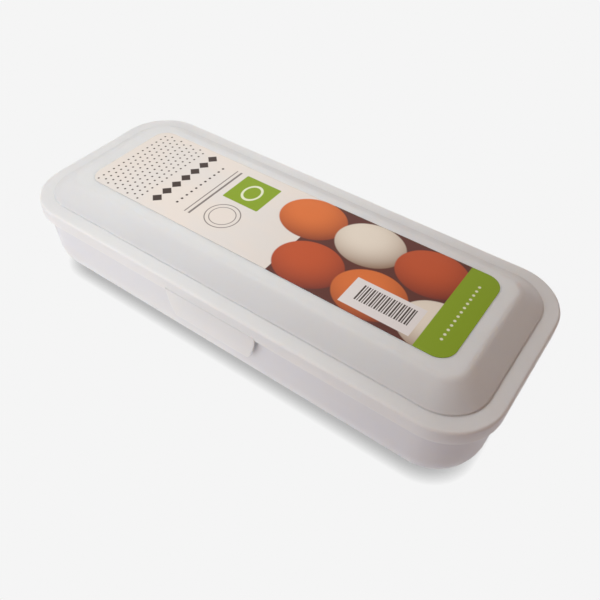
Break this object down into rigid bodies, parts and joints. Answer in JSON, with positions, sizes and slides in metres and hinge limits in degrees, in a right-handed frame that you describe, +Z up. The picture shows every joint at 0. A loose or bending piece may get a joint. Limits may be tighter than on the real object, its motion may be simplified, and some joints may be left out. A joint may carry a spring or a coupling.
{
  "type": "egg keeper with flip lid",
  "caption": "Long low frosted plastic egg box with rounded foot, bowl tray, hinged raised lid, folding front latch and a printed top label.",
  "frame": {"origin": "middle of the flat base, on the surface that the box stands on", "axes": "+X along the box to the right as seen from the latch, +Y to the rear where the hinges are, +Z up"},
  "size_m": [0.29, 0.1235, 0.0615],
  "materials": {
    "frosted_plastic": "satin, frosted, translucent",
    "tray_plastic": "satin, frosted, translucent",
    "label_film": "printed film, satin"
  },
  "bodies": {
    "tub": {"tub": "frosted_plastic", "tray_deck": "tray_plastic", "tray_rim": "tray_plastic", "tray_bowls_front": "tray_plastic", "tray_bowls_rear": "tray_plastic"},
    "lid": {"lid": "frosted_plastic", "lid_label": "label_film"},
    "latch": {"front_latch": "frosted_plastic"}
  },
  "joints": [
    {"name": "lid_hinge", "type": "hinge", "parent": "tub", "child": "lid", "pos_m": [0, 0.0612, 0.043], "axis": [-1, 0, 0], "range_deg": [0, 180]},
    {"name": "latch_fold", "type": "hinge", "parent": "lid", "child": "latch", "pos_m": [0, -0.0584, 0.0449], "axis": [-1, 0, 0], "range_deg": [0, 110]}
  ]
}
